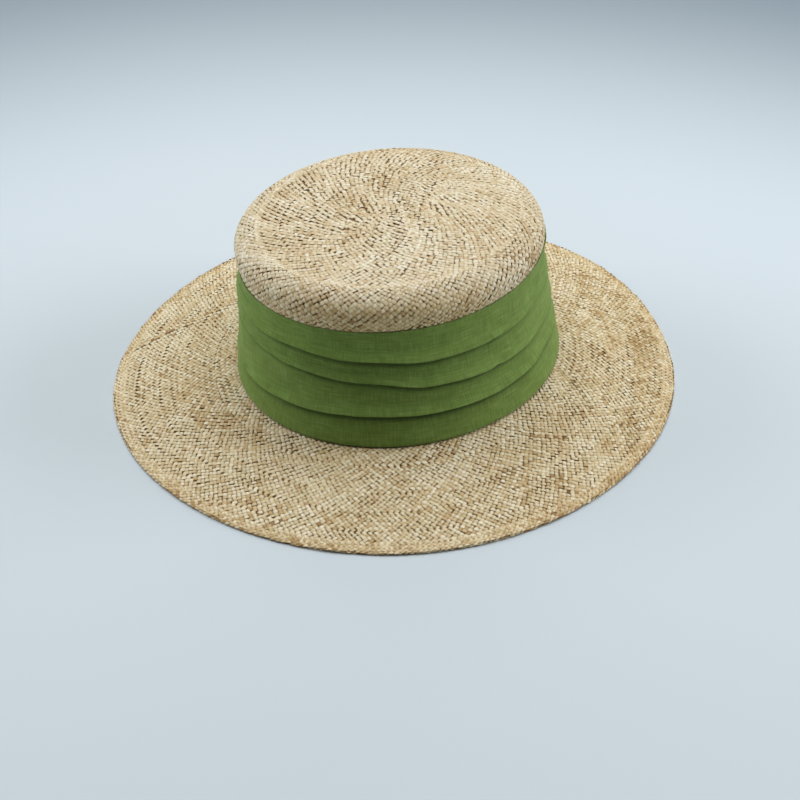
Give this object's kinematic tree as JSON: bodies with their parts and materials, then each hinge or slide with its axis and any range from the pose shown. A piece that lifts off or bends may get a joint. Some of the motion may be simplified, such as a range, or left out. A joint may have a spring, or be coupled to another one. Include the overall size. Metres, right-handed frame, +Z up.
{
  "type": "flat top straw hat",
  "caption": "Flat top straw hat with a wide, gently falling oval brim and a broad pleated linen band round the crown.",
  "frame": {"origin": "middle of the hat's footprint, on the surface that its rim rests on", "axes": "+Z up through the flat crown, +Y along the long way of the oval (front of the head to the back), +X across it"},
  "size_m": [0.322, 0.3538, 0.104],
  "materials": {
    "straw_body": "natural woven straw, matt with a slight sheen",
    "linen_band": "green slubbed linen, matt"
  },
  "bodies": {
    "root": {"straw_body": "straw_body", "linen_band": "linen_band"}
  },
  "joints": []
}
